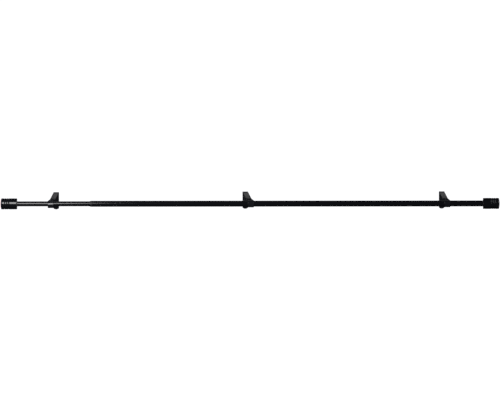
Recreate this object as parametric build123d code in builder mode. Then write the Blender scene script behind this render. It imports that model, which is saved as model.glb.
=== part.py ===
from build123d import *
import os
from math import cos, radians, sin

# Extendable curtain rod on three wall brackets, in millimetres.
# +X runs to the right along the rod, +Y goes into the wall and +Z is up.
# The origin is the centre of the middle bracket's mounting plate, on the wall.

# Telescoping tubes
outer_tube_diameter = 19.0
outer_tube_wall = 0.8
outer_tube_length = 1241.3
outer_tube_left_x = -486.5
inner_tube_diameter = 16.0
inner_tube_wall = 0.8
inner_tube_length = 1200.0
bare_inner_length = 230.5

# Clearances
running_gap = 0.06
push_fit_gap = 0.03
thread_gap = 0.05
seat_gap = 0.1
loose_gap = 0.3

# Moulded mouth ring, in the open end of the outer tube
mouth_nose_length = 7.6
mouth_nose_lip = 0.45
mouth_spigot_length = 12.0

# Moulded guide, in the hidden end of the inner tube
guide_flange_length = 7.0
guide_spigot_length = 15.0
guide_wall = 1.6
guide_slot_width = 1.5
guide_slot_count = 4
guide_chamfer = 0.5

# Finials
finial_diameter = 35.0
finial_length = 51.5
finial_dome_rise = 1.6
finial_corner_reach = 2.2
sleeve_wall = 2.0
sleeve_edge_chamfer = 0.4
groove_count = 3
groove_spacing = 6.5
groove_width = 3.4
groove_depth = 1.1
first_groove_from_end = 11.4
cap_rim_length = 3.6
cap_plug_length = 5.0
cap_plug_wall = 1.5

# Plastic insert that carries each finial in its tube
flange_thickness = 3.0
flange_diameter = 34.4
flange_edge_chamfer = 0.5
hub_length = 16.0
hub_wall = 1.8
hub_rib_thickness = 1.6
spigot_length = 26.0
spigot_relief = 0.35
spigot_wall = 1.6
crush_rib_lead_in = 0.8
crush_rib_count = 6
crush_rib_width = 1.4

# Bracket castings
left_bracket_from_end = 123.9
right_bracket_from_end = 130.9
rod_standoff = 85.0
collar_offset = 17.8
collar_bore = 19.6
collar_wall = 1.95
collar_width = 18.5
collar_edge_chamfer = 0.7
foot_width = 18.0
foot_height = 54.2
foot_depth = 9.0
foot_wall = 2.2
foot_sole = 3.0
foot_dome_height = 4.0
foot_corner_radius = 1.0
foot_front_chamfer = 0.8
arm_width = 17.6
arm_shoulder_reach = 15.0
arm_knee_reach = 56.0
arm_root_top = 26.4
arm_knee_top = 13.0
arm_tip_top = 11.4
arm_root_low = -14.0
arm_tip_low = -7.5
arm_edge_radius = 1.0
arm_wall = 2.4
arm_roof = 3.0
arm_rib_thickness = 2.4
arm_rib_count = 2
arm_core_end_reach = 66.0

# Mounting plate hidden in each foot
plate_depth = 5.4
plate_base = 2.0
plate_rim = 1.6
plate_hole_diameter = 4.5
plate_hole_spacing = 30.0

# Grub screws
screw_diameter = 4.0
socket_width = 2.0
socket_depth = 1.6
lock_screw_length = 3.0
lock_screw_reach = 3.0
collar_screw_length = 6.0
collar_screw_angle = 45.0
collar_boss_diameter = 8.0
collar_boss_height = 1.8

# Sizes that follow from the ones above
outer_radius = outer_tube_diameter / 2
outer_bore_radius = outer_radius - outer_tube_wall
inner_radius = inner_tube_diameter / 2
inner_bore_radius = inner_radius - inner_tube_wall
outer_tube_right_x = outer_tube_left_x + outer_tube_length
inner_tube_left_x = outer_tube_left_x - mouth_nose_length - bare_inner_length
inner_tube_right_x = inner_tube_left_x + inner_tube_length
left_bracket_x = inner_tube_left_x + left_bracket_from_end
right_bracket_x = outer_tube_right_x - right_bracket_from_end
sleeve_radius = finial_diameter / 2
sleeve_bore_radius = sleeve_radius - sleeve_wall
sleeve_end = finial_length - cap_rim_length
collar_bore_radius = collar_bore / 2
collar_radius = collar_bore_radius + collar_wall
screw_radius = screw_diameter / 2

# The tubes bear on the roof of each collar, so a thinner tube rides higher in the same bore.
rod_axis_z = collar_bore_radius - outer_radius - seat_gap
left_bracket_z = rod_axis_z - (collar_bore_radius - inner_radius - seat_gap)


def save(piece, label, places):
    """Sets a finished piece at its place and writes it under its own name."""
    with BuildPart() as placed:
        with Locations(places):
            add(piece)
    placed.part.label = label
    export_step(placed.part, f"parts/{label}.step")


def on_rod(x):
    """A place on the rod's axis."""
    return Location((x, -rod_standoff, rod_axis_z))


def make_tube(radius, bore_radius, length):
    """Straight drawn tube along X from its left end."""
    with BuildPart() as tube:
        with BuildSketch(Plane.YZ):
            Circle(radius)
            Circle(bore_radius, mode=Mode.SUBTRACT)
        extrude(amount=length)
    return tube.part


def make_mouth_ring():
    """Bush whose spigot fills the gap between the tubes and whose nose tapers down to the inner tube."""
    bore = inner_radius + running_gap
    with BuildPart() as ring:
        with BuildSketch(Plane.XY):
            with BuildLine():
                Polyline(
                    (-mouth_nose_length, bore + mouth_nose_lip),
                    (-mouth_nose_length, bore),
                    (mouth_spigot_length, bore),
                    (mouth_spigot_length, outer_bore_radius - push_fit_gap),
                    (0, outer_bore_radius - push_fit_gap),
                    (0, outer_radius),
                    close=True,
                )
            make_face()
        revolve(axis=Axis.X)
    return ring.part


def make_guide():
    """Bush on the hidden end of the inner tube, with a slotted flange that slides in the outer tube."""
    flange_radius = outer_bore_radius - running_gap
    spigot_radius = inner_bore_radius - push_fit_gap
    with BuildPart() as guide:
        with BuildSketch(Plane.XY):
            with BuildLine():
                Polyline(
                    (-guide_spigot_length, spigot_radius - guide_wall),
                    (-guide_spigot_length, spigot_radius),
                    (0, spigot_radius),
                    (0, flange_radius),
                    (guide_flange_length, flange_radius),
                    (guide_flange_length, spigot_radius - guide_wall),
                    close=True,
                )
            make_face()
        revolve(axis=Axis.X)
        rims = guide.edges().filter_by(GeomType.CIRCLE)
        chamfer(rims.filter_by(lambda rim: rim.radius > spigot_radius + push_fit_gap), guide_chamfer)
        with BuildSketch(Plane.YZ.offset(guide_flange_length / 2)):
            with PolarLocations(flange_radius, guide_slot_count):
                Rectangle(2 * flange_radius - 2 * spigot_radius + guide_wall, guide_slot_width)
        extrude(amount=guide_flange_length, mode=Mode.SUBTRACT)
    return guide.part


def make_sleeve():
    """Turned sleeve of a finial, with its V-shaped grooves near the outer end."""
    with BuildPart() as sleeve:
        with BuildSketch(Plane.YZ.offset(flange_thickness)):
            Circle(sleeve_radius)
            Circle(sleeve_bore_radius, mode=Mode.SUBTRACT)
        extrude(amount=sleeve_end - flange_thickness)
        rims = sleeve.edges().filter_by(GeomType.CIRCLE)
        outer_rims = rims.filter_by(lambda rim: rim.radius > sleeve_bore_radius + push_fit_gap)
        chamfer(outer_rims, sleeve_edge_chamfer)
        for index in range(groove_count):
            centre = finial_length - first_groove_from_end - index * groove_spacing
            with BuildSketch(Plane.XY):
                with BuildLine():
                    Polyline(
                        (centre - groove_width, sleeve_radius + groove_depth),
                        (centre, sleeve_radius - groove_depth),
                        (centre + groove_width, sleeve_radius + groove_depth),
                        close=True,
                    )
                make_face()
            revolve(axis=Axis.X, mode=Mode.SUBTRACT)
    return sleeve.part


def make_end_cap():
    """Domed disc with a ring that pushes into the sleeve. Its corner is rounded off in two flats."""
    plug_radius = sleeve_bore_radius - push_fit_gap
    rim_top = finial_length - finial_corner_reach
    dome_rim = sleeve_radius - finial_corner_reach
    corner_bend = finial_corner_reach * sin(radians(45))
    with BuildPart() as cap:
        with BuildSketch(Plane.XY):
            with BuildLine():
                Line((sleeve_end, 0), (sleeve_end, plug_radius - cap_plug_wall))
                Polyline(
                    (sleeve_end, plug_radius - cap_plug_wall),
                    (sleeve_end - cap_plug_length, plug_radius - cap_plug_wall),
                    (sleeve_end - cap_plug_length, plug_radius),
                    (sleeve_end, plug_radius),
                    (sleeve_end, sleeve_radius),
                    (rim_top, sleeve_radius),
                    (rim_top + corner_bend, dome_rim + corner_bend),
                    (finial_length, dome_rim),
                )
                RadiusArc(
                    (finial_length, dome_rim),
                    (finial_length + finial_dome_rise, 0),
                    (dome_rim**2 + finial_dome_rise**2) / (2 * finial_dome_rise),
                )
                Line((finial_length + finial_dome_rise, 0), (sleeve_end, 0))
            make_face()
        revolve(axis=Axis.X)
    return cap.part


def make_insert(tube_bore_radius):
    """Moulded insert: a ribbed spigot for the tube, a flange, and a cored hub that holds the sleeve."""
    hub_radius = sleeve_bore_radius - push_fit_gap
    core_radius = hub_radius - hub_wall
    spigot_radius = tube_bore_radius - spigot_relief
    rib_radius = tube_bore_radius - push_fit_gap
    with BuildPart() as insert:
        with BuildSketch(Plane.YZ):
            Circle(flange_diameter / 2)
        extrude(amount=flange_thickness)
        chamfer(insert.edges().sort_by(Axis.X)[0], flange_edge_chamfer)
        with BuildSketch(Plane.YZ.offset(flange_thickness)):
            Circle(hub_radius)
            Circle(core_radius, mode=Mode.SUBTRACT)
            Rectangle(2 * core_radius + hub_wall, hub_rib_thickness)
            Rectangle(hub_rib_thickness, 2 * core_radius + hub_wall)
        extrude(amount=hub_length)
        with BuildSketch(Plane.YZ):
            Circle(spigot_radius)
            Circle(spigot_radius - spigot_wall, mode=Mode.SUBTRACT)
        extrude(amount=-spigot_length)
        with BuildSketch(Plane.YZ):
            with PolarLocations(rib_radius - spigot_relief - spigot_wall / 2, crush_rib_count):
                Rectangle(spigot_wall, crush_rib_width)
            with PolarLocations(rib_radius - spigot_relief, crush_rib_count):
                Rectangle(spigot_relief, crush_rib_width, align=(Align.MIN, Align.CENTER))
            Circle(rib_radius, mode=Mode.INTERSECT)
        extrude(amount=crush_rib_lead_in - spigot_length)
    return insert.part


def make_foot_block(side_gap, low_gap, depth):
    """Block with the foot's outline, drawn in by the two gaps: square top and domed lower end."""
    half = foot_width / 2 - side_gap
    top = foot_height / 2 - side_gap
    low = low_gap - foot_height / 2
    dome_side = low + foot_dome_height * half / (foot_width / 2)
    with BuildPart() as block:
        with BuildSketch(Plane.XZ):
            with BuildLine():
                Polyline((-half, dome_side), (-half, top), (half, top), (half, dome_side))
                ThreePointArc((half, dome_side), (0, low), (-half, dome_side))
            make_face()
        extrude(amount=depth)
    return block.part


def arm_centre(reach):
    """Sideways place of the arm's middle at a distance from the wall, on its way to the collar."""
    return collar_offset * (reach - foot_depth) / (rod_standoff - foot_depth)


def arm_side_profile(drop, low_drop):
    """Corners of the arm seen from the side, with its top lowered and its underside lowered too."""
    root = -(foot_depth - foot_wall)
    tip = seat_gap + screw_radius - rod_standoff
    return [
        (root, arm_root_top - drop),
        (-arm_shoulder_reach, arm_root_top - drop),
        (-arm_knee_reach, arm_knee_top - drop),
        (tip, arm_tip_top - drop),
        (tip, arm_tip_low - low_drop),
        (-arm_knee_reach, arm_tip_low - low_drop),
        (root, arm_root_low - low_drop),
    ]


def make_arm_block(width, stretches, profile):
    """Diagonal arm between pairs of distances from the wall, cut to a side profile."""
    low = 2 * arm_root_low
    with BuildPart() as arm:
        with BuildSketch(Plane.XY.offset(low)):
            for start, end in stretches:
                with BuildLine():
                    Polyline(
                        (arm_centre(start) - width / 2, -start),
                        (arm_centre(start) + width / 2, -start),
                        (arm_centre(end) + width / 2, -end),
                        (arm_centre(end) - width / 2, -end),
                        close=True,
                    )
                make_face()
        extrude(amount=arm_root_top - low)
        with BuildSketch(Plane.YZ):
            with BuildLine():
                Polyline(*profile, close=True)
            make_face()
        extrude(amount=collar_offset + foot_width, both=True, mode=Mode.INTERSECT)
    return arm.part


def make_arm():
    """Arm from the foot to the collar, with its long edges rounded."""
    root = foot_depth - foot_wall
    tip = rod_standoff - screw_radius - seat_gap
    block = make_arm_block(arm_width, [(foot_depth, tip)], arm_side_profile(0, 0))
    with BuildPart() as arm:
        add(block)
        long_edges = arm.edges().filter_by(
            lambda edge: abs((edge @ 0).Y - (edge @ 1).Y) > foot_wall
        )
        fillet(long_edges, arm_edge_radius)
        root_face = arm.faces().sort_by(Axis.Y)[-1]
        extrude(root_face, amount=foot_depth - root)
    return arm.part


def make_arm_cores():
    """Bays cored out of the arm's underside, with ribs left between them."""
    start = foot_depth + arm_wall
    pitch = (arm_core_end_reach - start + arm_rib_thickness) / (arm_rib_count + 1)
    bays = []
    for index in range(arm_rib_count + 1):
        bay_start = start + index * pitch
        bays.append((bay_start, bay_start + pitch - arm_rib_thickness))
    return make_arm_block(arm_width - 2 * arm_wall, bays, arm_side_profile(arm_roof, -arm_root_low / 2))


def make_collar():
    """Ring that goes round the tube, still without its bore."""
    with BuildPart() as collar:
        with BuildSketch(Plane.YZ.offset(collar_offset - collar_width / 2)):
            with Locations((-rod_standoff, 0)):
                Circle(collar_radius)
        extrude(amount=collar_width)
        chamfer(collar.edges().filter_by(GeomType.CIRCLE), collar_edge_chamfer)
    return collar.part


def collar_ray(distance):
    """Plane square to the collar screw, at a distance from the collar's axis, down and towards the wall."""
    angle = radians(collar_screw_angle)
    outward = Vector(0, sin(angle), -cos(angle))
    centre = Vector(collar_offset, -rod_standoff, 0)
    return Plane(origin=centre + outward * distance, x_dir=(1, 0, 0), z_dir=outward)


def make_casting():
    """Bracket casting: foot, diagonal arm and collar, with the foot's centre on the wall at 0, 0, 0."""
    foot = make_foot_block(0, 0, foot_depth)
    pocket = make_foot_block(foot_wall, foot_sole, plate_depth + loose_gap)
    arm = make_arm()
    cores = make_arm_cores()
    collar = make_collar()
    with BuildPart() as casting:
        add(foot)
        upright_corners = casting.edges().filter_by(Axis.Y).group_by(Axis.Z)[-1]
        fillet(upright_corners, foot_corner_radius)
        chamfer(casting.faces().sort_by(Axis.Y)[0].edges(), foot_front_chamfer)
        add(arm)
        add(cores, mode=Mode.SUBTRACT)
        add(collar)
        with BuildSketch(collar_ray(collar_bore_radius)):
            Circle(collar_boss_diameter / 2)
        extrude(amount=collar_wall + collar_boss_height)
        add(pocket, mode=Mode.SUBTRACT)
        with BuildSketch(Plane.YZ.offset(collar_offset)):
            with Locations((-rod_standoff, 0)):
                Circle(collar_bore_radius)
        extrude(amount=collar_width + foot_width, both=True, mode=Mode.SUBTRACT)
        with BuildSketch(collar_ray(collar_bore_radius / 2)):
            Circle(screw_radius + thread_gap)
        extrude(amount=collar_radius + collar_boss_height, mode=Mode.SUBTRACT)
        with BuildSketch(Plane.XY.offset(-foot_height / 2)):
            with Locations((0, -lock_screw_reach)):
                Circle(screw_radius + thread_gap)
        extrude(amount=foot_sole + foot_wall, mode=Mode.SUBTRACT)
    return casting.part


def make_wall_plate():
    """Tray-shaped plate that is screwed to the wall and fills the foot's hollow."""
    outside = make_foot_block(foot_wall + loose_gap, foot_sole + loose_gap, plate_depth)
    hollow_side = foot_wall + loose_gap + plate_rim
    hollow = make_foot_block(hollow_side, foot_sole + loose_gap + plate_rim, plate_depth)
    with BuildPart() as plate:
        add(outside)
        with Locations((0, -plate_base, 0)):
            add(hollow, mode=Mode.SUBTRACT)
        with BuildSketch(Plane.XZ):
            with GridLocations(1, plate_hole_spacing, 1, 2):
                Circle(plate_hole_diameter / 2)
        extrude(amount=plate_depth, mode=Mode.SUBTRACT)
    return plate.part


def make_grub_screw(length):
    """Headless screw with its point at the origin, its body below it and a hexagon socket in its far end."""
    with BuildPart() as screw:
        with BuildSketch(Plane.XY.offset(-length)):
            Circle(screw_radius)
        extrude(amount=length)
        with BuildSketch(Plane.XY.offset(-length)):
            RegularPolygon(socket_width / 2, 6, major_radius=False)
        extrude(amount=socket_depth, mode=Mode.SUBTRACT)
    return screw.part


def collar_screw_place(tube_radius):
    """Place of a collar screw in the bracket, with its point just clear of the tube above it."""
    tube_rise = collar_bore_radius - tube_radius - seat_gap
    point_distance = tube_radius + seat_gap - tube_rise * cos(radians(collar_screw_angle))
    ray = collar_ray(point_distance)
    return Plane(origin=ray.origin, x_dir=(1, 0, 0), z_dir=ray.z_dir * -1).location


os.makedirs("parts", exist_ok=True)

# Rod
save(make_tube(outer_radius, outer_bore_radius, outer_tube_length), "outer_tube", on_rod(outer_tube_left_x))
save(make_tube(inner_radius, inner_bore_radius, inner_tube_length), "inner_tube", on_rod(inner_tube_left_x))
save(make_mouth_ring(), "tube_mouth_ring", on_rod(outer_tube_left_x))
save(make_guide(), "inner_tube_guide", on_rod(inner_tube_right_x))

# Finials, each with its flange against the end of its tube
finial_pieces = {"sleeve": make_sleeve(), "end_cap": make_end_cap()}
right_insert = make_insert(outer_bore_radius)
left_insert = make_insert(inner_bore_radius)
for name, piece in {**finial_pieces, "insert": right_insert}.items():
    save(piece, f"right_finial_{name}", on_rod(outer_tube_right_x))
for name, piece in {**finial_pieces, "insert": left_insert}.items():
    turned = mirror(piece, about=Plane.YZ, mode=Mode.PRIVATE)
    save(turned, f"left_finial_{name}", on_rod(inner_tube_left_x))

# Brackets: the left one is the mirror image of the other two
casting_piece = make_casting()
plate_piece = make_wall_plate()
lock_screw_piece = make_grub_screw(lock_screw_length)
collar_screw_piece = make_grub_screw(collar_screw_length)
lock_screw_tip = (0, -lock_screw_reach, lock_screw_length - foot_height / 2)
for side, x, z, tube_radius in (
    ("left", left_bracket_x, left_bracket_z, inner_radius),
    ("middle", 0, 0, outer_radius),
    ("right", right_bracket_x, 0, outer_radius),
):
    bracket_pieces = {
        "bracket": casting_piece,
        "wall_plate": plate_piece,
        "lock_screw": lock_screw_piece.moved(Location(lock_screw_tip)),
        "collar_screw": collar_screw_piece.moved(collar_screw_place(tube_radius)),
    }
    for name, piece in bracket_pieces.items():
        if side == "left":
            piece = mirror(piece, about=Plane.YZ, mode=Mode.PRIVATE)
        save(piece, f"{side}_{name}", Location((x, 0, z)))
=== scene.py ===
from math import cos, pi, radians, sin

import bpy
from mathutils import Euler, Matrix, Vector


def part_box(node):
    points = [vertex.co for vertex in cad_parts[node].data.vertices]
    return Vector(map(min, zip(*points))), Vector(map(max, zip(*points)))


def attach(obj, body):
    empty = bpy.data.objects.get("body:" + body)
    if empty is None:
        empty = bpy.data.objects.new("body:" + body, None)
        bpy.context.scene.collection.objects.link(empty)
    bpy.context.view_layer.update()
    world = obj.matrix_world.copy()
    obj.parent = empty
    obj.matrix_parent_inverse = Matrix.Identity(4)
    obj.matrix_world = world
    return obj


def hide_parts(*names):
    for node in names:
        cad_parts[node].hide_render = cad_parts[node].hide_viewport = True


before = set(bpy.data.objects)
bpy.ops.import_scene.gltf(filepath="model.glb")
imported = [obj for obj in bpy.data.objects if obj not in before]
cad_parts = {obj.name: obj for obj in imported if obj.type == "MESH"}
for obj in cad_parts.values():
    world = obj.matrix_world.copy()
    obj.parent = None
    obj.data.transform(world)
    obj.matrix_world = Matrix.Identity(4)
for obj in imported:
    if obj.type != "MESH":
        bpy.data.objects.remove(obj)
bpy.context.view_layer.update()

mm = 0.001


# Wall plates
# A small pressed steel tray behind each bracket's foot, zinc plated, with two screw holes to the
# wall. The press leaves its edges slightly rounded, and the plating shows as faint cloudy spangle.
plate_edge_radius = 0.3 * mm
plate_zinc = (0.46, 0.48, 0.50, 1)
plate_zinc_shadow = (0.30, 0.32, 0.35, 1)
plate_smoothest, plate_roughest = 0.42, 0.56
spangle_size = 3 * mm
plate_pit_size = 0.25 * mm
plate_pit_depth = 0.01 * mm
edge_steps = 2
sharp_edge = 24
flat_edge = 0.4
merging_gap = 0.002 * mm


def pick_only(piece):
    """Leaves one piece selected and active, with everything else deselected."""
    bpy.ops.object.select_all(action="DESELECT")
    piece.select_set(True)
    bpy.context.view_layer.objects.active = piece


def shade_true(piece, sharpest):
    """Smooth shading that leaves large faces flat or straight and bends only over rounded edges."""
    pick_only(piece)
    bpy.ops.object.shade_smooth_by_angle(angle=radians(sharpest))
    weighting = piece.modifiers.new("weighting", "WEIGHTED_NORMAL")
    weighting.mode = "FACE_AREA"
    weighting.weight = 100
    weighting.keep_sharp = True
    bpy.ops.object.modifier_apply(modifier=weighting.name)


def round_edges(piece, radius, steps, sharpest):
    """Rounds the edges of a piece that are sharper than an angle in degrees."""
    rounding = piece.modifiers.new("rounded_edges", "BEVEL")
    rounding.width = radius
    rounding.segments = steps
    rounding.limit_method = "ANGLE"
    rounding.angle_limit = radians(sharpest)
    return rounding


def rounded_copy(node_name, piece_name, edge_radius):
    """A merged copy of a CAD node with its sharp edges rounded, as a mould or press leaves them."""
    piece = bpy.data.objects.new(piece_name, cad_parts[node_name].data.copy())
    bpy.context.scene.collection.objects.link(piece)
    pick_only(piece)
    bpy.ops.object.mode_set(mode="EDIT")
    bpy.ops.mesh.select_all(action="SELECT")
    bpy.ops.mesh.customdata_custom_splitnormals_clear()
    bpy.ops.mesh.remove_doubles(threshold=merging_gap)
    bpy.ops.mesh.dissolve_limited(angle_limit=radians(flat_edge))
    bpy.ops.object.mode_set(mode="OBJECT")
    rounding = round_edges(piece, edge_radius, edge_steps, sharp_edge)
    rounding.miter_outer = "MITER_ARC"
    bpy.ops.object.modifier_apply(modifier=rounding.name)
    shade_true(piece, sharp_edge)
    return piece


def start_finish(name, metallic, roughness):
    """A material with its shader and the piece's own coordinates, ready for its detail."""
    finish = bpy.data.materials.new(name)
    finish.use_nodes = True
    shader = finish.node_tree.nodes["Principled BSDF"]
    shader.inputs["Metallic"].default_value = metallic
    shader.inputs["Roughness"].default_value = roughness
    place = finish.node_tree.nodes.new("ShaderNodeTexCoord").outputs["Object"]
    return finish, shader, place


def grain(finish, place, size, stretch=(1, 1, 1), detail=3):
    """Noise with grains of a real size in metres, drawn out along an axis by its stretch."""
    nodes, links = finish.node_tree.nodes, finish.node_tree.links
    turned = nodes.new("ShaderNodeMapping")
    turned.vector_type = "POINT"
    turned.inputs["Scale"].default_value = [1 / (size * along) for along in stretch]
    noise = nodes.new("ShaderNodeTexNoise")
    noise.inputs["Scale"].default_value = 1
    noise.inputs["Detail"].default_value = detail
    links.new(place, turned.inputs["Vector"])
    links.new(turned.outputs["Vector"], noise.inputs["Vector"])
    return noise.outputs["Fac"]


def spread(finish, value, low, high, low_end=0.35, high_end=0.65):
    """Turns a pattern's middle range into values from low to high."""
    ranged = finish.node_tree.nodes.new("ShaderNodeMapRange")
    ranged.inputs["From Min"].default_value = low_end
    ranged.inputs["From Max"].default_value = high_end
    ranged.inputs["To Min"].default_value = low
    ranged.inputs["To Max"].default_value = high
    finish.node_tree.links.new(value, ranged.inputs["Value"])
    return ranged.outputs["Result"]


def blend_colours(finish, amount, first, second):
    """Mixes two colours by a pattern. Either may be the result of an earlier mix."""
    mix = finish.node_tree.nodes.new("ShaderNodeMix")
    mix.data_type = "RGBA"
    finish.node_tree.links.new(amount, mix.inputs["Factor"])
    sockets = [socket for socket in mix.inputs if socket.type == "RGBA"]
    for socket, colour in zip(sockets, (first, second)):
        if isinstance(colour, tuple):
            socket.default_value = colour
        else:
            finish.node_tree.links.new(colour, socket)
    return next(out for out in mix.outputs if out.type == "RGBA")


def relief(finish, height, depth, below=None):
    """Bump of a real depth in metres, on top of an earlier bump where one is given."""
    bump = finish.node_tree.nodes.new("ShaderNodeBump")
    bump.inputs["Strength"].default_value = 1
    bump.inputs["Distance"].default_value = depth
    finish.node_tree.links.new(height, bump.inputs["Height"])
    if below is not None:
        finish.node_tree.links.new(below, bump.inputs["Normal"])
    return bump.outputs["Normal"]


zinc_plate, shader, place = start_finish("zinc_plate", metallic=1, roughness=0.5)
link = zinc_plate.node_tree.links.new
spangle = grain(zinc_plate, place, spangle_size, detail=5)
clouds = spread(zinc_plate, spangle, 0, 1)
pits = grain(zinc_plate, place, plate_pit_size)
link(blend_colours(zinc_plate, clouds, plate_zinc, plate_zinc_shadow), shader.inputs["Base Color"])
link(spread(zinc_plate, spangle, plate_smoothest, plate_roughest), shader.inputs["Roughness"])
link(relief(zinc_plate, pits, plate_pit_depth), shader.inputs["Normal"])

for side in ("left", "middle", "right"):
    node = f"{side}_wall_plate"
    tray = rounded_copy(node, f"{side}_wall_plate_tray", plate_edge_radius)
    tray.data.materials.clear()
    tray.data.materials.append(zinc_plate)
    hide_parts(node)
    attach(tray, "wall_anchor" if side == "middle" else node)


# Brackets
# One zinc die casting each: shoe-like foot, diagonal arm cored from below, and a closed collar.
# Its edges and inner corners are rounded as the mould leaves them, under black powder coat.
casting_edge_radius = 0.55 * mm
powder_black = (0.0080, 0.0084, 0.0100, 1)
powder_grey = (0.0105, 0.0110, 0.0130, 1)
powder_rubbed = (0.045, 0.045, 0.048, 1)
powder_refraction = 1.62
powder_smoothest, powder_roughest = 0.13, 0.20
powder_cloud_size = 9 * mm
powder_grain_size = 2.5 * mm
rubbed_reach = 0.7 * mm
rubbed_patch_size = 6 * mm
orange_peel_size = 0.9 * mm
orange_peel_depth = 0.008 * mm
powder_speck_size = 0.15 * mm
powder_speck_depth = 0.003 * mm


def reckon(finish, operation, *values):
    """One sum on the values of a finish, such as the product of two patterns."""
    sum_of_values = finish.node_tree.nodes.new("ShaderNodeMath")
    sum_of_values.operation = operation
    for value, socket in zip(values, sum_of_values.inputs):
        finish.node_tree.links.new(value, socket)
    return sum_of_values.outputs["Value"]


def edge_wear(finish, reach, place, patch_size):
    """Where a piece's corners are rubbed: 0 on its flats and up to 1 on patches of its edges."""
    nodes, links = finish.node_tree.nodes, finish.node_tree.links
    fully_worn, unworn = 0.90, 0.995
    patch_rim, patch_middle = 0.45, 0.60
    rounded = nodes.new("ShaderNodeBevel")
    rounded.samples = 4
    rounded.inputs["Radius"].default_value = reach
    flat = nodes.new("ShaderNodeNewGeometry")
    likeness = nodes.new("ShaderNodeVectorMath")
    likeness.operation = "DOT_PRODUCT"
    links.new(rounded.outputs["Normal"], likeness.inputs[0])
    links.new(flat.outputs["Normal"], likeness.inputs[1])
    edge = spread(finish, likeness.outputs["Value"], 1, 0, fully_worn, unworn)
    patches = spread(finish, grain(finish, place, patch_size), 0, 1, patch_rim, patch_middle)
    return reckon(finish, "MULTIPLY", edge, patches)


powder_coat, shader, place = start_finish("powder_coat", metallic=0, roughness=0.17)
shader.inputs["IOR"].default_value = powder_refraction
link = powder_coat.node_tree.links.new
cloud = spread(powder_coat, grain(powder_coat, place, powder_cloud_size), 0, 1)
coat_colour = blend_colours(powder_coat, cloud, powder_black, powder_grey)
rubbed = edge_wear(powder_coat, rubbed_reach, place, rubbed_patch_size)
coat_grain = grain(powder_coat, place, powder_grain_size)
peel_waves = grain(powder_coat, place, orange_peel_size, detail=1)
orange_peel = relief(powder_coat, peel_waves, orange_peel_depth)
specks = grain(powder_coat, place, powder_speck_size, detail=2)
link(blend_colours(powder_coat, rubbed, coat_colour, powder_rubbed), shader.inputs["Base Color"])
link(spread(powder_coat, coat_grain, powder_smoothest, powder_roughest), shader.inputs["Roughness"])
link(relief(powder_coat, specks, powder_speck_depth, orange_peel), shader.inputs["Normal"])

for side in ("left", "middle", "right"):
    node = f"{side}_bracket"
    casting = rounded_copy(node, f"{side}_bracket_casting", casting_edge_radius)
    casting.data.materials.clear()
    casting.data.materials.append(powder_coat)
    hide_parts(node)
    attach(casting, node)


# Grub screws
# Short headless steel screws, blackened, with an M4 thread, a flat point and a hexagon socket.
# One locks each foot on its plate from below, and one behind each collar bears on the tube.
thread_pitch = 0.7
thread_crest = 1.98
thread_root = 1.56
thread_root_flat, thread_flank_top, thread_crest_end = 0.25, 0.5625, 0.6875
thread_steps = 32
thread_sharpness = 28
thread_weld = 0.001
blank_sides = 65
blank_spare = 0.05
screw_lead = 0.4
socket_across = 2.0
socket_depth = 1.6
lock_screw_length = 3.0
collar_screw_length = 6.0
collar_screw_lean = radians(45)
oxide_black = (0.055, 0.055, 0.060, 1)
oxide_worn = (0.20, 0.195, 0.19, 1)
oxide_smoothest, oxide_roughest = 0.28, 0.44
oxide_grain_size = 0.5 * mm
oxide_worn_reach = 0.12 * mm
oxide_worn_patch_size = 0.8 * mm
oxide_pit_size = 0.08 * mm
oxide_pit_depth = 0.002 * mm


def draw_outline(name, points):
    """Draws an open line through points as a new piece, each vertex pulled out of the last."""
    bpy.ops.object.select_all(action="DESELECT")
    bpy.ops.mesh.primitive_plane_add(size=mm, location=(0, 0, 0))
    piece = bpy.context.object
    piece.name = piece.data.name = name
    bpy.ops.object.mode_set(mode="EDIT")
    bpy.ops.mesh.select_mode(type="VERT")
    bpy.ops.mesh.select_all(action="SELECT")
    bpy.ops.mesh.merge(type="CENTER")
    bpy.ops.transform.translate(value=points[0])
    for start, end in zip(points, points[1:]):
        pull = {"value": Vector(end) - Vector(start)}
        bpy.ops.mesh.extrude_region_move(TRANSFORM_OT_translate=pull)
    bpy.ops.object.mode_set(mode="OBJECT")
    return piece


def combine(piece, tool, operation):
    """Cuts a piece with another, or keeps what they share, and takes the other away."""
    pick_only(piece)
    cut = piece.modifiers.new("cut", "BOOLEAN")
    cut.operation = operation
    cut.object = tool
    cut.solver = "EXACT"
    bpy.ops.object.modifier_apply(modifier=cut.name)
    bpy.data.objects.remove(tool)


def wind_thread(length):
    """A solid rod with a thread all along it and flat ends, its middle at the origin."""
    turns = int(length / thread_pitch) + 3
    low = -turns * thread_pitch / 2
    profile = [
        (thread_root, 0, low),
        (thread_root, 0, low + thread_root_flat * thread_pitch),
        (thread_crest, 0, low + thread_flank_top * thread_pitch),
        (thread_crest, 0, low + thread_crest_end * thread_pitch),
        (thread_root, 0, low + thread_pitch),
    ]
    screw = draw_outline("grub_screw", profile)
    pick_only(screw)
    winding = screw.modifiers.new("thread", "SCREW")
    winding.axis = "Z"
    winding.angle = 2 * pi
    winding.screw_offset = thread_pitch
    winding.iterations = turns - 1
    winding.steps = winding.render_steps = thread_steps
    winding.use_merge_vertices = True
    winding.merge_threshold = thread_weld
    bpy.ops.object.modifier_apply(modifier=winding.name)
    bpy.ops.object.mode_set(mode="EDIT")
    for end, outward in ((length / 2, 1), (-length / 2, -1)):
        bpy.ops.mesh.select_all(action="SELECT")
        bpy.ops.mesh.bisect(
            plane_co=(0, 0, end), plane_no=(0, 0, outward), use_fill=True, clear_outer=True
        )
    bpy.ops.mesh.select_all(action="SELECT")
    bpy.ops.mesh.remove_doubles(threshold=thread_weld)
    bpy.ops.mesh.normals_make_consistent(inside=False)
    bpy.ops.object.mode_set(mode="OBJECT")
    return screw


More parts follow.
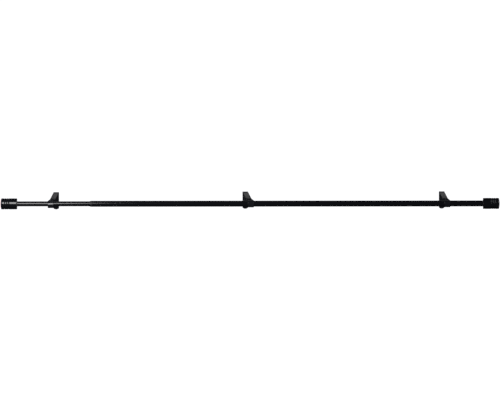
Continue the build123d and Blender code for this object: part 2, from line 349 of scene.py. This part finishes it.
def make_blank(length):
    """The plain rod that a screw is cut from, with a lead turned on both ends."""
    bpy.ops.object.select_all(action="DESELECT")
    bpy.ops.mesh.primitive_cylinder_add(
        vertices=blank_sides, radius=thread_crest + blank_spare, depth=length + 2 * blank_spare
    )
    blank = bpy.context.object
    bpy.ops.object.mode_set(mode="EDIT")
    bpy.ops.mesh.select_mode(type="EDGE")
    bpy.ops.mesh.select_all(action="DESELECT")
    bpy.ops.object.mode_set(mode="OBJECT")
    for edge in blank.data.edges:
        start, end = (blank.data.vertices[index].co.z for index in edge.vertices)
        edge.select = abs(start - end) < thread_weld
    bpy.ops.object.mode_set(mode="EDIT")
    bpy.ops.mesh.bevel(offset=screw_lead, segments=1)
    bpy.ops.object.mode_set(mode="OBJECT")
    return blank


def make_grub_screw(length):
    """Screw with its middle at the origin, its point up and its socket below.

    It is drawn in millimetres and then scaled down, since fine cuts go wrong on a metre's scale.
    """
    screw = wind_thread(length)
    combine(screw, make_blank(length), "INTERSECT")
    bpy.ops.object.select_all(action="DESELECT")
    bpy.ops.mesh.primitive_cylinder_add(
        vertices=6,
        radius=socket_across / 2 / cos(radians(30)),
        depth=2 * socket_depth,
        location=(0, 0, -length / 2),
    )
    combine(screw, bpy.context.object, "DIFFERENCE")
    screw.data.transform(Matrix.Scale(mm, 4))
    pick_only(screw)
    bpy.ops.object.shade_smooth_by_angle(angle=radians(thread_sharpness))
    screw.data.materials.clear()
    screw.data.materials.append(blackened_steel)
    return screw


blackened_steel, shader, place = start_finish("blackened_steel", metallic=1, roughness=0.36)
link = blackened_steel.node_tree.links.new
worn = edge_wear(blackened_steel, oxide_worn_reach, place, oxide_worn_patch_size)
oxide_grain = grain(blackened_steel, place, oxide_grain_size)
pits = grain(blackened_steel, place, oxide_pit_size)
link(blend_colours(blackened_steel, worn, oxide_black, oxide_worn), shader.inputs["Base Color"])
sheen = spread(blackened_steel, oxide_grain, oxide_smoothest, oxide_roughest)
link(sheen, shader.inputs["Roughness"])
link(relief(blackened_steel, pits, oxide_pit_depth), shader.inputs["Normal"])

upright = Matrix.Identity(4)
leaning = Matrix.Rotation(collar_screw_lean, 4, "X")
for kind, length, turned in (
    ("lock", lock_screw_length, upright),
    ("collar", collar_screw_length, leaning),
):
    pattern = make_grub_screw(length)
    for side in ("left", "middle", "right"):
        node = f"{side}_{kind}_screw"
        low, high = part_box(node)
        screw = bpy.data.objects.new(f"{node}_threaded", pattern.data.copy())
        bpy.context.scene.collection.objects.link(screw)
        screw.data.transform(Matrix.Translation((low + high) / 2) @ turned)
        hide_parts(node)
        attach(screw, node)
    bpy.data.objects.remove(pattern)


# Telescoping tubes
# Two steel tubes rolled from strip and seam welded, so a low bead runs along inside. Their cut
# ends are deburred, and glossy black enamel is baked on. The thin one shows faint rub marks.
rod_y = -85.0 * mm
rod_z = 0.2 * mm
tube_wall = 0.8 * mm
outer_tube_radius = 9.5 * mm
inner_tube_radius = 8.0 * mm
tube_steps = 96
tube_weld = 0.001 * mm
deburring = 0.2 * mm
deburring_steps = 3
weld_bead_rise = 0.15 * mm
weld_bead_slope = 0.2 * mm
weld_bead_width = 3
bore_tolerance = 0.1 * mm
enamel_black = (0.0030, 0.0032, 0.0042, 1)
enamel_soft = (0.0042, 0.0045, 0.0056, 1)
rub_grey = (0.010, 0.010, 0.011, 1)
enamel_smoothest, enamel_roughest, rubbed_roughest = 0.11, 0.17, 0.20
enamel_cloud_size = 30 * mm
enamel_grain_size = 0.8 * mm
drawn_out = (60, 1, 1)
rub_size = 0.5 * mm
rub_drawn_out = (200, 1, 1)
rub_start, rub_full = 0.60, 0.72
rub_depth = 0.002 * mm
enamel_peel_size = 1.2 * mm
enamel_peel_depth = 0.004 * mm


def turn(name, outline, rounding_radius, sharpest=20):
    """Spins an outline of (place along, radius) pairs round the rod and rounds its corners."""
    points = [(along, rod_y, rod_z + radius) for along, radius in outline]
    piece = draw_outline(name, points)
    pick_only(piece)
    bpy.ops.object.mode_set(mode="EDIT")
    bpy.ops.mesh.select_all(action="SELECT")
    bpy.ops.mesh.spin(steps=tube_steps, angle=2 * pi, center=(0, rod_y, rod_z), axis=(1, 0, 0))
    bpy.ops.mesh.select_all(action="SELECT")
    bpy.ops.mesh.remove_doubles(threshold=tube_weld)
    bpy.ops.mesh.normals_make_consistent(inside=False)
    bpy.ops.object.mode_set(mode="OBJECT")
    rounding = round_edges(piece, rounding_radius, deburring_steps, sharpest)
    bpy.ops.object.modifier_apply(modifier=rounding.name)
    shade_true(piece, sharpest)
    return piece


def raise_weld_bead(tube, bore_radius):
    """Lifts a narrow strip of the bore, at the back, as the bead that seam welding leaves there."""
    bpy.ops.object.mode_set(mode="OBJECT")
    reach = weld_bead_width * 2 * pi / tube_steps * bore_radius / 2
    for face in tube.data.polygons:
        off = Vector((0, face.center.y - rod_y, face.center.z - rod_z))
        inside = abs(off.length - bore_radius) < bore_tolerance
        face.select = inside and off.y > 0 and abs(off.z) < reach
    bpy.ops.object.mode_set(mode="EDIT")
    bpy.ops.mesh.select_mode(type="FACE")
    bpy.ops.mesh.inset(thickness=weld_bead_slope)
    bpy.ops.transform.translate(value=(0, -weld_bead_rise, 0))
    bpy.ops.object.mode_set(mode="OBJECT")


def tube_outline(node, radius):
    """Section of a tube wall from one end of its CAD node to the other."""
    low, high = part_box(node)
    bore = radius - tube_wall
    return [(low.x, radius), (high.x, radius), (high.x, bore), (low.x, bore), (low.x, radius)]


def make_enamel(name, rub_colour, roughest):
    """Baked black enamel on a drawn tube: very fine lengthwise lines under a smooth gloss."""
    enamel, shader, place = start_finish(name, metallic=0, roughness=0.14)
    link = enamel.node_tree.links.new
    cloud = spread(enamel, grain(enamel, place, enamel_cloud_size, drawn_out), 0, 1)
    colour = blend_colours(enamel, cloud, enamel_black, enamel_soft)
    scratches = grain(enamel, place, rub_size, rub_drawn_out, detail=4)
    rubs = spread(enamel, scratches, 0, 1, rub_start, rub_full)
    lines = grain(enamel, place, enamel_grain_size, drawn_out)
    peel_waves = grain(enamel, place, enamel_peel_size, (2, 1, 1), detail=1)
    peel = relief(enamel, peel_waves, enamel_peel_depth)
    link(blend_colours(enamel, rubs, colour, rub_colour), shader.inputs["Base Color"])
    link(spread(enamel, lines, enamel_smoothest, roughest), shader.inputs["Roughness"])
    link(relief(enamel, rubs, -rub_depth, peel), shader.inputs["Normal"])
    return enamel


tube_enamel = make_enamel("tube_enamel_black", enamel_soft, enamel_roughest)
rubbed_enamel = make_enamel("tube_enamel_rubbed", rub_grey, rubbed_roughest)
for node, radius, body, finish in (
    ("outer_tube", outer_tube_radius, "outer_rod", tube_enamel),
    ("inner_tube", inner_tube_radius, "inner_rod", rubbed_enamel),
):
    tube = turn(f"{node}_seam_welded", tube_outline(node, radius), deburring)
    raise_weld_bead(tube, radius - tube_wall)
    tube.data.materials.append(finish)
    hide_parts(node)
    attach(tube, body)


# Moulded nylon parts
# The ring in the wide tube's mouth tapers down to the thin tube. The slotted guide on the thin
# tube's hidden end and the inserts that carry the finials are moulded in the same black nylon.
ring_bore = 8.06 * mm
ring_spigot_radius = 8.67 * mm
ring_spigot_length = 12.0 * mm
ring_nose_length = 7.6 * mm
ring_lip = 0.45 * mm
ring_crown = 0.35 * mm
ring_edge_radius = 0.12 * mm
ring_arc_steps = 12
moulded_edge_radius = 0.18 * mm
nylon_black = (0.0085, 0.0085, 0.0090, 1)
nylon_pale = (0.0125, 0.0125, 0.0130, 1)
nylon_rubbed = (0.030, 0.030, 0.030, 1)
nylon_smoothest, nylon_roughest = 0.42, 0.56
nylon_flow_size = 6 * mm
nylon_grain_size = 1.5 * mm
nylon_scuff_reach = 0.3 * mm
nylon_scuff_size = 3 * mm
nylon_texture_size = 0.12 * mm
nylon_texture_depth = 0.006 * mm

black_nylon, shader, place = start_finish("moulded_nylon", metallic=0, roughness=0.48)
link = black_nylon.node_tree.links.new
flow = spread(black_nylon, grain(black_nylon, place, nylon_flow_size, (3, 1, 1)), 0, 1)
nylon_colour = blend_colours(black_nylon, flow, nylon_black, nylon_pale)
scuffed = edge_wear(black_nylon, nylon_scuff_reach, place, nylon_scuff_size)
nylon_grain = grain(black_nylon, place, nylon_grain_size)
texture = grain(black_nylon, place, nylon_texture_size, detail=2)
link(blend_colours(black_nylon, scuffed, nylon_colour, nylon_rubbed), shader.inputs["Base Color"])
link(spread(black_nylon, nylon_grain, nylon_smoothest, nylon_roughest), shader.inputs["Roughness"])
link(relief(black_nylon, texture, nylon_texture_depth), shader.inputs["Normal"])


def arc(start, end, rise, steps):
    """Points of a shallow arc between two points of an outline, bulging outwards by rise."""
    (x0, r0), (x1, r1) = start, end
    points = []
    for step in range(steps + 1):
        share = step / steps
        lift = 4 * rise * share * (1 - share)
        points.append((x0 + (x1 - x0) * share, r0 + (r1 - r0) * share + lift))
    return points


tube_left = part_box("outer_tube")[0].x
lip = (tube_left - ring_nose_length, ring_bore + ring_lip)
shoulder = (tube_left, outer_tube_radius)
ring_outline = arc(lip, shoulder, ring_crown, ring_arc_steps) + [
    (tube_left, ring_spigot_radius),
    (tube_left + ring_spigot_length, ring_spigot_radius),
    (tube_left + ring_spigot_length, ring_bore),
    (tube_left - ring_nose_length, ring_bore),
    lip,
]
ring = turn("tube_mouth_ring_moulded", ring_outline, ring_edge_radius)
ring.data.materials.append(black_nylon)
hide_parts("tube_mouth_ring")
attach(ring, "outer_rod")

for node, body in (
    ("inner_tube_guide", "inner_rod"),
    ("left_finial_insert", "left_finial"),
    ("right_finial_insert", "right_finial"),
):
    moulding = rounded_copy(node, f"{node}_moulded", moulded_edge_radius)
    moulding.data.materials.clear()
    moulding.data.materials.append(black_nylon)
    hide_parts(node)
    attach(moulding, body)


# Finials
# A turned aluminium sleeve with three V-shaped grooves, closed by a slightly domed disc that
# pushes in. Both are enamelled glossy black, and their turned edges are broken to small radii.
finial_radius = 17.5 * mm
finial_bore = 15.5 * mm
finial_length = 51.5 * mm
flange_thickness = 3.0 * mm
cap_rim_length = 3.6 * mm
cap_plug_length = 5.0 * mm
cap_plug_radius = 15.47 * mm
cap_plug_bore = 13.97 * mm
cap_corner_radius = 3.2 * mm
cap_corner_steps = 10
cap_dome_rise = 1.6 * mm
cap_dome_steps = 14
cap_edge_radius = 0.2 * mm
cap_sharpness = 35
groove_places = (40.1 * mm, 33.6 * mm, 27.1 * mm)
groove_width = 3.4 * mm
groove_depth = 1.1 * mm
sleeve_edge_radius = 0.3 * mm
sleeve_shoulder = 1.2 * mm
shoulder_steps = 6
finial_smoothest, finial_roughest = 0.07, 0.12
finial_cloud_size = 12 * mm
finial_grain_size = 2 * mm
finial_worn_reach = 0.4 * mm
finial_worn_patch_size = 5 * mm
turning_mark_size = 0.25 * mm
turning_mark_depth = 0.002 * mm
drawn_round = (1, 80, 80)

finial_enamel, shader, place = start_finish("finial_enamel_black", metallic=0, roughness=0.12)
link = finial_enamel.node_tree.links.new
cloud = spread(finial_enamel, grain(finial_enamel, place, finial_cloud_size), 0, 1)
finial_colour = blend_colours(finial_enamel, cloud, enamel_black, enamel_soft)
worn = edge_wear(finial_enamel, finial_worn_reach, place, finial_worn_patch_size)
finial_grain = grain(finial_enamel, place, finial_grain_size)
turning = grain(finial_enamel, place, turning_mark_size, drawn_round, detail=2)
link(blend_colours(finial_enamel, worn, finial_colour, rub_grey), shader.inputs["Base Color"])
sheen = spread(finial_enamel, finial_grain, finial_smoothest, finial_roughest)
link(sheen, shader.inputs["Roughness"])
link(relief(finial_enamel, turning, turning_mark_depth), shader.inputs["Normal"])


def sleeve_outline(end, outward):
    """Section of a finial's sleeve, outwards from the tube's end, with grooves and a shoulder."""
    outer_end = finial_length - cap_rim_length
    points = [(outer_end, finial_bore), (outer_end, finial_radius)]
    for middle in groove_places:
        points += [
            (middle + groove_width / 2, finial_radius),
            (middle, finial_radius - groove_depth),
            (middle - groove_width / 2, finial_radius),
        ]
    for step in range(shoulder_steps + 1):
        bend = pi / 2 * step / shoulder_steps
        along = flange_thickness + sleeve_shoulder * (1 - sin(bend))
        points.append((along, finial_radius - sleeve_shoulder * (1 - cos(bend))))
    points += [(flange_thickness, finial_bore), (outer_end, finial_bore)]
    return [(end + outward * along, radius) for along, radius in points]


def cap_outline(end, outward):
    """Section of a finial's end cap: push-in ring, rim, rounded corner and domed face."""
    seat = finial_length - cap_rim_length
    corner_start = finial_length - cap_corner_radius
    dome_edge = finial_radius - cap_corner_radius
    points = [
        (seat, 0),
        (seat, cap_plug_bore),
        (seat - cap_plug_length, cap_plug_bore),
        (seat - cap_plug_length, cap_plug_radius),
        (seat, cap_plug_radius),
        (seat, finial_radius),
    ]
    for step in range(cap_corner_steps):
        bend = pi / 2 * step / cap_corner_steps
        along = corner_start + cap_corner_radius * sin(bend)
        points.append((along, dome_edge + cap_corner_radius * cos(bend)))
    dome_radius = (dome_edge**2 + cap_dome_rise**2) / (2 * cap_dome_rise)
    for step in range(cap_dome_steps + 1):
        radius = dome_edge * (1 - step / cap_dome_steps)
        drop = dome_radius - (dome_radius**2 - radius**2) ** 0.5
        points.append((finial_length + cap_dome_rise - drop, radius))
    return [(end + outward * along, radius) for along, radius in points]


for side, end, outward in (
    ("left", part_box("inner_tube")[0].x, -1),
    ("right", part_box("outer_tube")[1].x, 1),
):
    sleeve_section = sleeve_outline(end, outward)
    sleeve = turn(f"{side}_finial_sleeve_turned", sleeve_section, sleeve_edge_radius)
    cap_section = cap_outline(end, outward)
    cap = turn(f"{side}_finial_end_cap_turned", cap_section, cap_edge_radius, cap_sharpness)
    for piece, node in ((sleeve, f"{side}_finial_sleeve"), (cap, f"{side}_finial_end_cap")):
        piece.data.materials.append(finial_enamel)
        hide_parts(node)
        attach(piece, f"{side}_finial")


# Floor, lights and camera
# A plain pale floor lies well below the rod. The key lamp at the front left draws the bright line
# along the thin tube, a small one behind lights each bracket's arm, and soft ones at the ends and
# the back show the rest. The camera faces the wall and looks eight degrees downwards.
floor_drop = 0.75
floor_size = 30
floor_white = (0.90, 0.90, 0.90, 1)
pure_white = (1, 1, 1, 1)
studio_grey = (0.92, 0.96, 1.20, 1)
studio_front, studio_back, studio_sides = 0.10, 0.015, 0.15
front_bound, back_bound = -0.5, 0.3
side_start, side_full = 0.35, 0.80
upper_start, upper_full = -0.05, 0.60
view_elevation = radians(8.07)
view_roll = radians(-0.055)
view_centre = Vector((14.9 * mm, 0, -0.13 * mm))
view_width = 1588.5 * mm
view_distance = 3
view_end = 100
softboxes = (
    # name, place, point it faces, width, height, power, lean
    ("key_lamp", (-0.84, -1.16, 0.53), (-0.84, -0.085, 0), 0.66, 0.70, 12, radians(-14)),
    ("left_arm_lamp", (-0.61, 0.80, 0.85), (-0.61, -0.06, 0.02), 0.16, 0.45, 0.10, 0),
    ("middle_arm_lamp", (0.01, 0.80, 0.85), (0.01, -0.06, 0.02), 0.16, 0.45, 0.10, 0),
    ("right_arm_lamp", (0.63, 0.80, 0.85), (0.63, -0.06, 0.02), 0.16, 0.45, 0.10, 0),
    ("left_lamp", (-2.4, 0, 0.6), (-0.75, -0.085, 0), 0.9, 0.9, 3, 0),
    ("back_left_lamp", (-2.0, 1.6, 0.25), (-0.3, -0.05, 0), 1.0, 1.0, 5, 0),
    ("back_right_lamp", (2.0, 1.6, 0.25), (0.3, -0.05, 0), 1.0, 1.0, 5, 0),
    ("right_lamp", (2.28, -0.26, 0.97), (0.78, -0.085, 0), 0.7, 0.7, 2.6, 0),
)

bpy.ops.object.select_all(action="DESELECT")
bpy.ops.mesh.primitive_plane_add(size=floor_size, location=(0, 0, -floor_drop))
floor = bpy.context.object
floor.name = "floor"
floor_finish, shader, place = start_finish("floor_white", metallic=0, roughness=0.9)
shader.inputs["Base Color"].default_value = floor_white
shader.inputs["Emission Color"].default_value = pure_white
shader.inputs["Emission Strength"].default_value = 1
floor.data.materials.append(floor_finish)
floor.visible_glossy = False
floor.visible_diffuse = False

for name, lamp_place, aim, width, height, power, lean in softboxes:
    bpy.ops.object.light_add(type="AREA", location=lamp_place)
    lamp = bpy.context.object
    lamp.name = name
    lamp.data.shape = "RECTANGLE"
    lamp.data.size = width
    lamp.data.size_y = height
    lamp.data.energy = power
    facing = (Vector(aim) - Vector(lamp_place)).to_track_quat("-Z", "Y").to_matrix()
    lamp.rotation_euler = (facing @ Matrix.Rotation(lean, 3, "Z")).to_euler()

world = bpy.data.worlds.new("studio")
world.use_nodes = True
bpy.context.scene.world = world
nodes, link = world.node_tree.nodes, world.node_tree.links.new
studio = nodes["Background"]
studio.inputs["Color"].default_value = studio_grey
heading = nodes.new("ShaderNodeSeparateXYZ")
link(nodes.new("ShaderNodeTexCoord").outputs["Generated"], heading.inputs["Vector"])
front_to_back = spread(
    world, heading.outputs["Y"], studio_front, studio_back, front_bound, back_bound
)
sideways = reckon(world, "ABSOLUTE", heading.outputs["X"])
to_the_sides = spread(world, sideways, 0, 1, side_start, side_full)
upwards = spread(world, heading.outputs["Z"], 0, studio_sides, upper_start, upper_full)
glow = reckon(world, "MULTIPLY_ADD", to_the_sides, upwards, front_to_back)
link(glow, studio.inputs["Strength"])
backdrop = nodes.new("ShaderNodeBackground")
backdrop.inputs["Color"].default_value = pure_white
either = nodes.new("ShaderNodeMixShader")
link(nodes.new("ShaderNodeLightPath").outputs["Is Camera Ray"], either.inputs["Fac"])
link(studio.outputs["Background"], either.inputs[1])
link(backdrop.outputs["Background"], either.inputs[2])
link(either.outputs["Shader"], nodes["World Output"].inputs["Surface"])

view_direction = Vector((0, cos(view_elevation), -sin(view_elevation)))
bpy.ops.object.camera_add(location=view_centre - view_direction * view_distance)
camera = bpy.context.object
camera.name = "photo_camera"
level = Euler((pi / 2 - view_elevation, 0, 0)).to_matrix()
camera.rotation_euler = (level @ Matrix.Rotation(view_roll, 3, "Z")).to_euler()
camera.data.type = "ORTHO"
camera.data.ortho_scale = view_width
camera.data.clip_end = view_end
bpy.context.scene.camera = camera
bpy.context.scene.view_settings.view_transform = "Standard"
